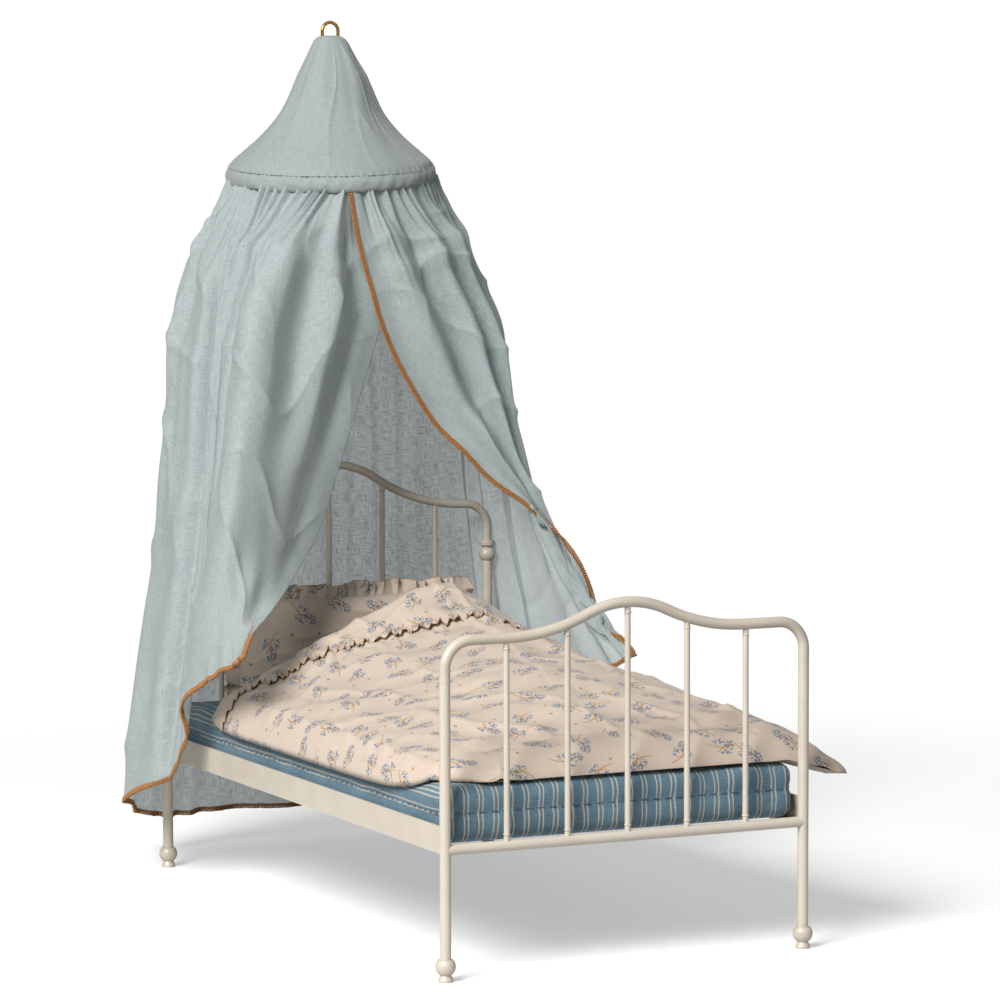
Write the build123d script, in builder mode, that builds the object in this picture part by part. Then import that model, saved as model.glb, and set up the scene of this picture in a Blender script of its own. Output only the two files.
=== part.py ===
"""A doll's size metal bed with bedding, under a hanging canopy with draped curtains.

Millimetres, +Z up. The origin is on the floor, midway along the whole object's length and width.
-Y is the foot of the bed, +Y the head, and the canopy hangs over the head end.
"""

from build123d import *
import math
import os

# ---- driving dimensions ----
POST_SPAN = 200.0  # between the post centres across the bed
BED_LENGTH = 373.0  # between the post centres along the bed
FOOT_Y = -217.5
HEAD_Y = FOOT_Y + BED_LENGTH
POST_X = POST_SPAN / 2

FOOT_TUBE_R = 2.75
HEAD_POST_R = 2.9
HEAD_TUBE_R = 2.4
POST_WALL = 0.8
CROSS_RAIL_R = 2.7
CROSS_RAIL_Z = 65.0
SPINDLE_R = 1.5
SPINDLE_PITCH = POST_SPAN / 6
ARCH_CORNER_R = 14.0
CROWN_SHARE = 0.34  # the part of an arch's S-curve radii that its crown takes

FOOT_SHOULDER_Z, FOOT_RISE, FOOT_RUN = 167.5, 14.5, 65.0
FOOT_JOINT_Z = 146.0  # where the leg tube ends and the bent hoop begins
HEAD_SHOULDER_Z, HEAD_RISE, HEAD_RUN = 198.6, 26.0, 86.0

GLIDE_BALL_R, GLIDE_BALL_Z, GLIDE_TOP_Z = 5.05, 7.6, 11.1
GLIDE_BASE_R, GLIDE_NECK_R, GLIDE_NECK_Z = 3.7, 2.7, 3.4
GLIDE_SPIGOT_LENGTH, GLIDE_FIT = 8.0, 0.05

KNOB_R, KNOB_Z = 4.75, 168.9
KNOB_BOTTOM_Z, KNOB_TOP_Z = 165.3, 177.1
COLLAR_R, COLLAR_HEIGHT, KNOB_NECK_R = 4.25, 3.4, 2.8

SHEET = 1.2
RAIL_BOTTOM_Z, RAIL_TOP_Z = 63.4, 76.9
RAIL_FLANGE, RAIL_OUTER_X = 8.0, POST_X + FOOT_TUBE_R
SLAT_COUNT, SLAT_WIDTH = 9, 12.0

MATTRESS_WIDTH, MATTRESS_ROUNDING = 198.0, 7.0
MATTRESS_BOTTOM_Z, MATTRESS_TOP_Z = 66.2, 95.0
MATTRESS_FRONT_Y, MATTRESS_BACK_Y = FOOT_Y + 5.5, HEAD_Y - 6.5
SOFT_GAP = 0.4

PILLOW_WIDTH, PILLOW_THICKNESS, PILLOW_HEIGHT = 156.0, 26.0, 68.0
PILLOW_LEAN, PILLOW_ROUNDING, PILLOW_Y = 14.0, 11.0, 124.0

DUVET_HEM_Z = 85.0
DUVET_BACK_Y = 92.0

CANOPY_Y = HEAD_Y - 6.0
CONE_TOP_Z, CONE_TOP_R = 465.0, 8.3
BAND_TOP_Z, BAND_BOTTOM_Z = 389.0, 380.0
BAND_R, BAND_THICKNESS = 59.5, 4.4
HOOP_WIRE_R, HOOP_Z = 0.9, 386.0
LOOP_WIRE_R, LOOP_HALF_WIDTH, LOOP_TOP_Z, LOOP_FOOT_Z = 0.95, 4.8, 476.4, 462.0
CLOTH = 1.2
CURTAIN_TOP_Z = BAND_BOTTOM_Z - 1.6
CURTAIN_TOP_R = BAND_R - 2.6
CURTAIN_GAP = 0.4  # degrees of rim left between neighbouring curtain widths

os.makedirs("parts", exist_ok=True)


def save(piece, name):
    """Label a finished piece and write it."""
    piece.part.label = name
    export_step(piece.part, f"parts/{name}.step")


# ---- the metal bed ----


def arch_path(y, start_z, shoulder_z, rise, run):
    """Wire of a bent hoop: up from a post, round the corner, an S-curve to the crown, and down."""
    turn = math.degrees(2 * math.atan(rise / run))
    radii = run / math.sin(math.radians(turn))
    crown_r, valley_r = CROWN_SHARE * radii, (1 - CROWN_SHARE) * radii
    flat = POST_X - ARCH_CORNER_R - run
    with BuildLine(Plane.XZ.offset(-y)) as path:
        last = Line((-POST_X, start_z), (-POST_X, shoulder_z - ARCH_CORNER_R))
        last = JernArc(last @ 1, last % 1, ARCH_CORNER_R, -90)
        if flat > 0:
            last = Line(last @ 1, last @ 1 + Vector(flat, 0, 0))
        last = JernArc(last @ 1, (1, 0), valley_r, turn)
        last = JernArc(last @ 1, last % 1, crown_r, -2 * turn)
        last = JernArc(last @ 1, last % 1, valley_r, turn)
        if flat > 0:
            last = Line(last @ 1, last @ 1 + Vector(flat, 0, 0))
        last = JernArc(last @ 1, (1, 0), ARCH_CORNER_R, -90)
        Line(last @ 1, last @ 1 - Vector(0, 0, shoulder_z - ARCH_CORNER_R - start_z))
    return path.line


def arch_height(x, shoulder_z, rise, run):
    """Height of the hoop's centreline over x."""
    turn = 2 * math.atan(rise / run)
    radii = run / math.sin(turn)
    crown_r, valley_r = CROWN_SHARE * radii, (1 - CROWN_SHARE) * radii
    x = abs(x)
    if x < crown_r * math.sin(turn):
        return shoulder_z + rise - crown_r + math.sqrt(crown_r**2 - x**2)
    if x < run:
        return shoulder_z + valley_r - math.sqrt(valley_r**2 - (run - x) ** 2)
    return shoulder_z


def post(x, y, radius, top_z):
    """A leg tube from its glide up to the hoop or the knob."""
    with BuildPart() as tube:
        with BuildSketch(Plane((x, y, GLIDE_TOP_Z))):
            Circle(radius)
            Circle(radius - POST_WALL, mode=Mode.SUBTRACT)
        extrude(amount=top_z - GLIDE_TOP_Z)
    return tube


def glide(x, y, bore_r):
    """A turned foot: flared base, neck and ball, with a spigot up inside the leg tube."""
    ball_foot_r = math.sqrt(GLIDE_BALL_R**2 - (GLIDE_BALL_Z - GLIDE_NECK_Z) ** 2)
    ball_top_r = math.sqrt(GLIDE_BALL_R**2 - (GLIDE_TOP_Z - GLIDE_BALL_Z) ** 2)
    spigot_r = bore_r - GLIDE_FIT
    spigot_z = GLIDE_TOP_Z + GLIDE_SPIGOT_LENGTH
    with BuildPart() as foot:
        with BuildSketch(Plane((x, y, 0), (1, 0, 0), (0, -1, 0))):
            with BuildLine():
                Polyline((0, 0), (GLIDE_BASE_R, 0), (GLIDE_BASE_R, 1.2), (ball_foot_r, GLIDE_NECK_Z))
                ThreePointArc(
                    (ball_foot_r, GLIDE_NECK_Z),
                    (GLIDE_BALL_R, GLIDE_BALL_Z),
                    (ball_top_r, GLIDE_TOP_Z),
                )
                Polyline(
                    (ball_top_r, GLIDE_TOP_Z),
                    (spigot_r, GLIDE_TOP_Z),
                    (spigot_r, spigot_z),
                    (0, spigot_z),
                    (0, 0),
                )
            make_face()
        revolve(axis=Axis((x, y, 0), (0, 0, 1)))
    return foot


def knob(x, y):
    """A turned ball with a collar, closing the head post under the thinner hoop tube."""
    bottom_r = math.sqrt(KNOB_R**2 - (KNOB_Z - KNOB_BOTTOM_Z) ** 2)
    neck_z = KNOB_Z + math.sqrt(KNOB_R**2 - KNOB_NECK_R**2)
    collar_z = KNOB_TOP_Z - COLLAR_HEIGHT
    with BuildPart() as ball:
        with BuildSketch(Plane((x, y, 0), (1, 0, 0), (0, -1, 0))):
            with BuildLine():
                Polyline((0, KNOB_BOTTOM_Z), (bottom_r, KNOB_BOTTOM_Z))
                ThreePointArc((bottom_r, KNOB_BOTTOM_Z), (KNOB_R, KNOB_Z), (KNOB_NECK_R, neck_z))
                Polyline(
                    (KNOB_NECK_R, neck_z),
                    (KNOB_NECK_R, collar_z),
                    (COLLAR_R, collar_z),
                    (COLLAR_R, KNOB_TOP_Z),
                    (0, KNOB_TOP_Z),
                    (0, KNOB_BOTTOM_Z),
                )
            make_face()
        revolve(axis=Axis((x, y, 0), (0, 0, 1)))
        fillet(ball.edges().filter_by(GeomType.CIRCLE).filter_by(lambda e: e.radius > KNOB_R - 0.6), 0.8)
    return ball


def hoop(path, radius):
    """The bent tube of one bed end, swept along its wire."""
    with BuildPart() as tube:
        with BuildSketch(Plane(path @ 0, z_dir=path % 0)):
            Circle(radius)
        sweep(path=path)
    return tube


def cross_rail(y, post_r):
    """The straight tube between a pair of posts, coped to fit round them."""
    with BuildPart() as rail:
        with BuildSketch(Plane((-POST_X, y, CROSS_RAIL_Z), (0, 1, 0), (1, 0, 0))):
            Circle(CROSS_RAIL_R)
        extrude(amount=POST_SPAN)
        with Locations((-POST_X, y, CROSS_RAIL_Z), (POST_X, y, CROSS_RAIL_Z)):
            Cylinder(post_r, 3 * CROSS_RAIL_R, mode=Mode.SUBTRACT)
    return rail


def spindle(x, y, top_z, rail, arch):
    """A thin upright rod from the cross rail to the hoop, coped at both ends."""
    with BuildPart() as rod:
        with BuildSketch(Plane((x, y, CROSS_RAIL_Z))):
            Circle(SPINDLE_R)
        extrude(amount=top_z - CROSS_RAIL_Z)
        add(rail.part, mode=Mode.SUBTRACT)
        add(arch.part, mode=Mode.SUBTRACT)
    return rod


def bed_end(name, y, post_r, post_top_z, tube_r, arch_start_z, shoulder_z, rise, run):
    """Posts, glides, hoop, cross rail and spindles of one end."""
    for side, x in (("left", -POST_X), ("right", POST_X)):
        save(post(x, y, post_r, post_top_z), f"{name}_post_{side}")
        save(glide(x, y, post_r - POST_WALL), f"{name}_glide_{side}")
    arch = hoop(arch_path(y, arch_start_z, shoulder_z, rise, run), tube_r)
    save(arch, f"{name}_arch")
    rail = cross_rail(y, post_r)
    save(rail, f"{name}_cross_rail")
    for number in range(5):
        x = (number - 2) * SPINDLE_PITCH
        rod = spindle(x, y, arch_height(x, shoulder_z, rise, run), rail, arch)
        save(rod, f"{name}_spindle_{number + 1}")


bed_end(
    "foot",
    FOOT_Y,
    FOOT_TUBE_R,
    FOOT_JOINT_Z,
    FOOT_TUBE_R,
    FOOT_JOINT_Z,
    FOOT_SHOULDER_Z,
    FOOT_RISE,
    FOOT_RUN,
)
bed_end(
    "head",
    HEAD_Y,
    HEAD_POST_R,
    KNOB_BOTTOM_Z,
    HEAD_TUBE_R,
    KNOB_TOP_Z,
    HEAD_SHOULDER_Z,
    HEAD_RISE,
    HEAD_RUN,
)
for side, x in (("left", -POST_X), ("right", POST_X)):
    save(knob(x, HEAD_Y), f"head_knob_{side}")


def side_rail(side):
    """Angle section flush with the outside of the posts and coped to them, flange inwards."""
    flange_front_y, flange_back_y = FOOT_Y + 2 * FOOT_TUBE_R, HEAD_Y - 2 * HEAD_POST_R
    with BuildPart() as rail:
        with BuildSketch(Plane.XZ.offset(-FOOT_Y)):
            with Locations((side * (RAIL_OUTER_X - SHEET / 2), (RAIL_BOTTOM_Z + RAIL_TOP_Z) / 2)):
                Rectangle(SHEET, RAIL_TOP_Z - RAIL_BOTTOM_Z)
        extrude(amount=-BED_LENGTH)
        with BuildSketch(Plane.XZ.offset(-flange_front_y)):
            with Locations((side * (RAIL_OUTER_X - RAIL_FLANGE / 2), RAIL_BOTTOM_Z + SHEET / 2)):
                Rectangle(RAIL_FLANGE, SHEET)
        extrude(amount=flange_front_y - flange_back_y)
        with Locations((side * POST_X, FOOT_Y, CROSS_RAIL_Z)):
            Cylinder(FOOT_TUBE_R, 3 * RAIL_TOP_Z, mode=Mode.SUBTRACT)
        with Locations((side * POST_X, HEAD_Y, CROSS_RAIL_Z)):
            Cylinder(HEAD_POST_R, 3 * RAIL_TOP_Z, mode=Mode.SUBTRACT)
    return rail


for name, side in (("left", -1), ("right", 1)):
    save(side_rail(side), f"side_rail_{name}")

slat_pitch = (BED_LENGTH - 24.0) / SLAT_COUNT
slat_length = 2 * (RAIL_OUTER_X - SHEET) - 0.6
for number in range(SLAT_COUNT):
    slat_y = FOOT_Y + 12.0 + (number + 0.5) * slat_pitch
    with BuildPart() as slat:
        with BuildSketch(Plane((0, slat_y, RAIL_BOTTOM_Z + SHEET))):
            Rectangle(slat_length, SLAT_WIDTH)
        extrude(amount=SHEET)
    save(slat, f"bed_slat_{number + 1}")


# ---- the bedding, each piece a plain closed solid of the true size ----

with BuildPart() as mattress:
    with BuildSketch(Plane((0, (MATTRESS_FRONT_Y + MATTRESS_BACK_Y) / 2, MATTRESS_BOTTOM_Z))):
        Rectangle(MATTRESS_WIDTH, MATTRESS_BACK_Y - MATTRESS_FRONT_Y)
    extrude(amount=MATTRESS_TOP_Z - MATTRESS_BOTTOM_Z)
    fillet(mattress.edges(), MATTRESS_ROUNDING)
save(mattress, "mattress")

pillow_z = MATTRESS_TOP_Z + SOFT_GAP + PILLOW_HEIGHT / 2 + 0.8
with BuildPart() as pillow:
    with BuildSketch(Plane.YZ):
        with Locations((PILLOW_Y, pillow_z)):
            RectangleRounded(PILLOW_THICKNESS, PILLOW_HEIGHT, PILLOW_ROUNDING, rotation=-PILLOW_LEAN)
    extrude(amount=PILLOW_WIDTH / 2, both=True)
    fillet(pillow.faces().filter_by(Axis.X).edges(), PILLOW_ROUNDING - 3.0)
save(pillow, "pillow")


def duvet_section(y, left_x, right_x, top_z, roundness):
    """Outline across the bed: a plump top over a flat bed face, both sides hanging past it."""
    bed_x = MATTRESS_WIDTH / 2 + 1.4
    bed_z = MATTRESS_TOP_Z + SOFT_GAP
    middle_x, half_width = (left_x + right_x) / 2, (right_x - left_x) / 2
    top = []
    for step in range(1, 10):
        angle = math.pi * (1 - step / 10)
        across = math.copysign(abs(math.cos(angle)) ** roundness, math.cos(angle))
        top.append(
            (
                middle_x + half_width * across,
                DUVET_HEM_Z + (top_z - DUVET_HEM_Z) * math.sin(angle) ** roundness,
            )
        )
    with BuildSketch(Plane.XZ.offset(-y)) as section:
        with BuildLine():
            Polyline(
                (left_x, DUVET_HEM_Z),
                (-bed_x, DUVET_HEM_Z),
                (-bed_x, bed_z),
                (bed_x, bed_z),
                (bed_x, DUVET_HEM_Z),
                (right_x, DUVET_HEM_Z),
            )
            Spline((left_x, DUVET_HEM_Z), *top, (right_x, DUVET_HEM_Z))
        make_face()
    return section.sketch


# where along the bed, how far each side hangs out, how high the top stands, and how round it is
DUVET_SECTIONS = [
    (FOOT_Y + 7.0, -105.0, 137.0, 106.0, 0.36),
    (FOOT_Y + 17.0, -105.5, 136.0, 113.0, 0.4),
    (FOOT_Y + 57.0, -106.0, 129.0, 120.0, 0.5),
    (FOOT_Y + 117.0, -106.0, 119.0, 132.0, 0.62),
    (FOOT_Y + 182.0, -106.0, 110.0, 148.0, 0.74),
    (FOOT_Y + 242.0, -105.5, 107.0, 161.0, 0.8),
    (FOOT_Y + 277.0, -105.0, 106.5, 164.0, 0.78),
    (DUVET_BACK_Y, -104.5, 105.5, 146.0, 0.68),
]
with BuildPart() as duvet:
    loft([duvet_section(*values) for values in DUVET_SECTIONS])
save(duvet, "duvet")


# ---- the canopy ----


def band_point(angle, radius, z):
    """A point round the canopy's axis; 0 degrees is straight to the front, 90 to the right."""
    turn = math.radians(angle)
    return Vector(radius * math.sin(turn), CANOPY_Y - radius * math.cos(turn), z)


loop_legs = [(-LOOP_HALF_WIDTH, CANOPY_Y), (LOOP_HALF_WIDTH, CANOPY_Y)]
with BuildPart() as canopy_cap:
    with BuildSketch(Plane((0, CANOPY_Y, LOOP_FOOT_Z - 2.0))):
        Circle(CONE_TOP_R - 2 * CLOTH)
    extrude(amount=CONE_TOP_Z - LOOP_FOOT_Z + 2.0)
    with BuildSketch(Plane((0, CANOPY_Y, CONE_TOP_Z))):
        Circle(CONE_TOP_R)
    extrude(amount=2 * CLOTH)
    with BuildSketch(Plane((0, 0, LOOP_FOOT_Z))):
        with Locations(*loop_legs):
            Circle(LOOP_WIRE_R)
    extrude(amount=CONE_TOP_Z, mode=Mode.SUBTRACT)
save(canopy_cap, "canopy_cap")

loop_shoulder_z = LOOP_TOP_Z - LOOP_WIRE_R - LOOP_HALF_WIDTH
with BuildPart() as hanging_loop:
    with BuildLine(Plane.XZ.offset(-CANOPY_Y)) as loop_path:
        Line((-LOOP_HALF_WIDTH, LOOP_FOOT_Z), (-LOOP_HALF_WIDTH, loop_shoulder_z))
        JernArc((-LOOP_HALF_WIDTH, loop_shoulder_z), (0, 1), LOOP_HALF_WIDTH, -180)
        Line((LOOP_HALF_WIDTH, loop_shoulder_z), (LOOP_HALF_WIDTH, LOOP_FOOT_Z))
    with BuildSketch(Plane((-LOOP_HALF_WIDTH, CANOPY_Y, LOOP_FOOT_Z))):
        Circle(LOOP_WIRE_R)
    sweep(path=loop_path.line)
save(hanging_loop, "hanging_loop")

cone_depth, cone_spread = CONE_TOP_Z - BAND_TOP_Z, BAND_R - 1.0 - CONE_TOP_R
cone_outside = []
for step in range(7):
    share = step / 6
    cone_outside.append((CONE_TOP_R + cone_spread * share**1.25, CONE_TOP_Z - cone_depth * share))
cone_inside = [(r - 1.3 * CLOTH, z) for r, z in reversed(cone_outside)]
with BuildPart() as canopy_cone:
    with BuildSketch(Plane((0, CANOPY_Y, 0), (1, 0, 0), (0, -1, 0))):
        with BuildLine():
            Spline(*cone_outside)
            Line(cone_outside[-1], cone_inside[0])
            Spline(*cone_inside)
            Line(cone_inside[-1], cone_outside[0])
        make_face()
    revolve(axis=Axis((0, CANOPY_Y, 0), (0, 0, 1)))
save(canopy_cone, "canopy_cone")

hoop_r = BAND_R - BAND_THICKNESS / 2
with BuildPart() as canopy_hoop:
    with BuildSketch(Plane((0, CANOPY_Y, 0), (1, 0, 0), (0, -1, 0))):
        with Locations((hoop_r, HOOP_Z)):
            Circle(HOOP_WIRE_R)
    revolve(axis=Axis((0, CANOPY_Y, 0), (0, 0, 1)))
save(canopy_hoop, "canopy_hoop")

with BuildPart() as canopy_rim_band:
    with BuildSketch(Plane((0, CANOPY_Y, 0), (1, 0, 0), (0, -1, 0))):
        with Locations((hoop_r, (BAND_TOP_Z + BAND_BOTTOM_Z) / 2)):
            RectangleRounded(BAND_THICKNESS, BAND_TOP_Z - BAND_BOTTOM_Z, 0.4 * BAND_THICKNESS)
        with Locations((hoop_r, HOOP_Z)):
            Circle(HOOP_WIRE_R, mode=Mode.SUBTRACT)
    revolve(axis=Axis((0, CANOPY_Y, 0), (0, 0, 1)))
save(canopy_rim_band, "canopy_rim_band")

# ---- the curtains: smooth cloth walls through threads that run from the rim to the hem ----

# front edges, from the rim down and out to the front corners of the hem
RIGHT_EDGE = [
    (-5, 92.8, CURTAIN_TOP_Z),
    (0, 90, 329),
    (21, 86, 271),
    (69, 84, 217),
    (106, 62, 182),
    (117, 36, 150),
    (115, -2.5, 127),
]
LEFT_EDGE = [
    (-12, 93.9, CURTAIN_TOP_Z),
    (-7, 90, 329),
    (-13, 86, 265),
    (-31, 83, 215),
    (-62, 62, 178),
    (-100, 22, 152),
    (-118, -12.5, 142),
]
# rim angle, where that thread meets the hem, and how evenly it spreads (1 is a straight line)
RIGHT_THREADS = [
    (45, (121, 55, 106), 0.68),
    (80, (127, 118, 60), 0.6),
    (110, (124, 172, 38)),
    (140, (92, 211, 25)),
]
LEFT_THREADS = [
    (-50, (-121, 62, 101)),
    (-80, (-136.8, 124, 52)),
    (-110, (-118, 168, 39)),
    (-140, (-92, 211, 25)),
]
BACK_HEM_Y, BACK_HEM_Z = 222.14, 21.0
THREAD_STEPS = (0, 0.08, 0.2, 0.36, 0.55, 0.77, 1)


def thread(angle, hem, ease=0.5):
    """Points down one thread: it spreads fast below the rim and slowly further down."""
    top, foot = band_point(angle, CURTAIN_TOP_R, CURTAIN_TOP_Z), Vector(*hem)
    points = []
    for share in THREAD_STEPS:
        spread = share**ease
        points.append(
            Vector(
                top.X + (foot.X - top.X) * spread,
                top.Y + (foot.Y - top.Y) * spread,
                top.Z + (foot.Z - top.Z) * share,
            )
        )
    return points


def curtain(threads):
    """A wall of cloth through its threads, thickened."""
    surface = Face.make_surface_from_array_of_points(threads, tol=0.2)
    with BuildPart() as cloth:
        thicken(surface, amount=CLOTH)
    return cloth


def back_hem(x):
    """A hem point of the back width."""
    return (x, BACK_HEM_Y, BACK_HEM_Z)


right = [[Vector(*point) for point in RIGHT_EDGE]] + [thread(*values) for values in RIGHT_THREADS]
left = [[Vector(*point) for point in LEFT_EDGE]] + [thread(*values) for values in LEFT_THREADS]
back_angle = RIGHT_THREADS[-1][0] + CURTAIN_GAP
back_x = RIGHT_THREADS[-1][1][0] - 1.0
back = [
    thread(back_angle, (back_x, 211.5, 25)),
    thread(160, back_hem(48)),
    thread(180, back_hem(0)),
    thread(200, back_hem(-48)),
    thread(-back_angle, (-back_x, 211.5, 25)),
]
save(curtain(right), "curtain_right")
save(curtain(left), "curtain_left")
save(curtain(back), "curtain_back")
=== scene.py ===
"""The looks of a doll's bed with bedding under a hanging canopy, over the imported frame.

Lengths are worked out in millimetres, in the row frame, and turned to metres when a mesh is made.
"""

import math

import bmesh
import bpy
import numpy as np
from mathutils import Matrix, Vector


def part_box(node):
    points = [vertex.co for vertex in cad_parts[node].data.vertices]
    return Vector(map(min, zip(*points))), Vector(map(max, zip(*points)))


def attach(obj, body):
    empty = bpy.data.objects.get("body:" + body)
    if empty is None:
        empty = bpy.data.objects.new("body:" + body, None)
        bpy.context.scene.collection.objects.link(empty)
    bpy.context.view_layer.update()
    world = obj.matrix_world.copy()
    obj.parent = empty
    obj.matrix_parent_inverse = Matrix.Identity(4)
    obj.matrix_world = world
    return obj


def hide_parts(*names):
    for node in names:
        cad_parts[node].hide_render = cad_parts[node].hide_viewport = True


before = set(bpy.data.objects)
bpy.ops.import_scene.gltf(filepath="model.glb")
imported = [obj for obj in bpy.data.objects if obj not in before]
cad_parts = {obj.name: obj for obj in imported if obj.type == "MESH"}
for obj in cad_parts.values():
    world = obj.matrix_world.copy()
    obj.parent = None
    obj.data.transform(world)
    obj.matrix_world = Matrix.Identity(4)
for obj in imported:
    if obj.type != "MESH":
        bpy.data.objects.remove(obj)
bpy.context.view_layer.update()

MM = 0.001


def corners(node):
    """Lowest and highest corner of a CAD node, in millimetres."""
    low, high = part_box(node)
    return np.array(low) / MM, np.array(high) / MM


band_low, band_high = corners("canopy_rim_band")
AXIS_X, AXIS_Y = (band_low + band_high)[:2] / 2
BAND_R = (band_high - band_low)[0] / 2
cap_low, cap_high = corners("canopy_cap")
CAP_R = (cap_high - cap_low)[0] / 2
CAP_TOP = cap_high[2]
mattress_low, mattress_high = corners("mattress")
pillow_low, pillow_high = corners("pillow")
duvet_low, duvet_high = corners("duvet")
BED_TOP = mattress_high[2]


# ---- small tools ----


def wander(x, y, size, seed, layers=6):
    """Smooth wandering values of about -1 to 1 over a plane, with features about size across."""
    rng = np.random.default_rng(seed)
    total = np.zeros(np.broadcast(x, y).shape)
    for _ in range(layers):
        turn, pitch = rng.uniform(0, 2 * math.pi), size * rng.uniform(0.7, 1.9)
        along = np.cos(turn) * x + np.sin(turn) * y
        total = total + np.sin(2 * math.pi * along / pitch + rng.uniform(0, 2 * math.pi))
    return total / math.sqrt(layers) / 1.2


def creases(x, y, size, seed):
    """Sharp ridges between smooth cells, 0 to 1."""
    ridge = 1 - np.abs(wander(x, y, size, seed)) * 1.6
    return np.clip(ridge, 0, 1) ** 3


def step(low, high, x):
    """0 below low, 1 above high, smooth between."""
    t = np.clip((np.asarray(x, float) - low) / (high - low), 0, 1)
    return t * t * (3 - 2 * t)


def through(knots, values, at):
    """A smooth curve through values at uneven knots, read at any places."""
    knots, values, at = np.asarray(knots, float), np.asarray(values, float), np.asarray(at, float)
    slopes = np.gradient(values, knots, axis=0)
    i = np.clip(np.searchsorted(knots, at) - 1, 0, len(knots) - 2)
    gap = knots[i + 1] - knots[i]
    t = (at - knots[i]) / gap
    shape = t.shape + (1,) * (values.ndim - 1)
    t, gap = t.reshape(shape), gap.reshape(shape)
    a, b = values[i], values[i + 1]
    return (
        a * (2 * t**3 - 3 * t**2 + 1)
        + slopes[i] * gap * (t**3 - 2 * t**2 + t)
        + b * (3 * t**2 - 2 * t**3)
        + slopes[i + 1] * gap * (t**3 - t**2)
    )


def lengths_along(points):
    """Distance run at each point of a line, from its start."""
    return np.concatenate([[0], np.cumsum(np.linalg.norm(np.diff(points, axis=0), axis=1))])


def read_at(places, run, values):
    """Rows of values, known at the distances in run, read at other distances."""
    return np.stack([np.interp(places, run, column) for column in values.T], -1)


def unit(rows):
    """Rows of vectors, each of length 1."""
    return rows / np.linalg.norm(rows, axis=1, keepdims=True)


def link(name, data):
    """A new object in the scene."""
    made = bpy.data.objects.new(name, data)
    bpy.context.scene.collection.objects.link(made)
    return made


def sheet_normals(points):
    """Unit normals of a grid of points."""
    down = np.gradient(points, axis=0)
    across = np.gradient(points, axis=1)
    normal = np.cross(across, down)
    return normal / np.maximum(np.linalg.norm(normal, axis=2, keepdims=True), 1e-9)


def grid_object(name, points, cloth, join=False):
    """A mesh from a grid of points, with its flat-cloth coordinates as a UV map, in metres."""
    rows, columns = points.shape[:2]
    index = np.arange(rows * columns).reshape(rows, columns)
    quads = np.stack([index[:-1, :-1], index[:-1, 1:], index[1:, 1:], index[1:, :-1]], -1)
    mesh = bpy.data.meshes.new(name)
    mesh.from_pydata((points.reshape(-1, 3) * MM).tolist(), [], quads.reshape(-1, 4).tolist())
    layer = mesh.uv_layers.new(name="cloth")
    corner = np.zeros(len(mesh.loops), np.int32)
    mesh.loops.foreach_get("vertex_index", corner)
    layer.data.foreach_set("uv", (cloth.reshape(-1, 2)[corner] * MM).ravel())
    if join:
        work = bmesh.new()
        work.from_mesh(mesh)
        bmesh.ops.remove_doubles(work, verts=work.verts, dist=0.02 * MM)
        bmesh.ops.recalc_face_normals(work, faces=work.faces)
        work.to_mesh(mesh)
        work.free()
    mesh.polygons.foreach_set("use_smooth", [True] * len(mesh.polygons))
    return link(name, mesh)


def flat_places(points):
    """Flat-cloth places of a grid, from its lengths across and down, centred across."""
    across = np.linalg.norm(np.diff(points, axis=1), axis=2)
    across = np.concatenate([np.zeros((len(points), 1)), np.cumsum(across, axis=1)], axis=1)
    middle = points.shape[1] // 2
    across = across - across[:, middle : middle + 1]
    down = np.linalg.norm(np.diff(points[:, middle], axis=0), axis=1)
    down = np.concatenate([[0], np.cumsum(down)])[:, None]
    return np.stack([across, np.broadcast_to(down, across.shape)], -1)


def thread_object(name, runs, radius, sides=1):
    """Round threads through runs of points, as one curve object."""
    curve = bpy.data.curves.new(name, "CURVE")
    curve.dimensions = "3D"
    curve.bevel_depth = radius * MM
    curve.bevel_resolution = sides
    curve.use_fill_caps = True
    for run in runs:
        spline = curve.splines.new("POLY")
        spline.points.add(len(run) - 1)
        flat = np.ones((len(run), 4))
        flat[:, :3] = np.asarray(run) * MM
        spline.points.foreach_set("co", flat.ravel())
    return link(name, curve)


def dress(piece, material, body):
    """Give a piece its material and its body."""
    piece.data.materials.clear()
    piece.data.materials.append(material)
    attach(piece, body)


# ---- materials ----


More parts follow.
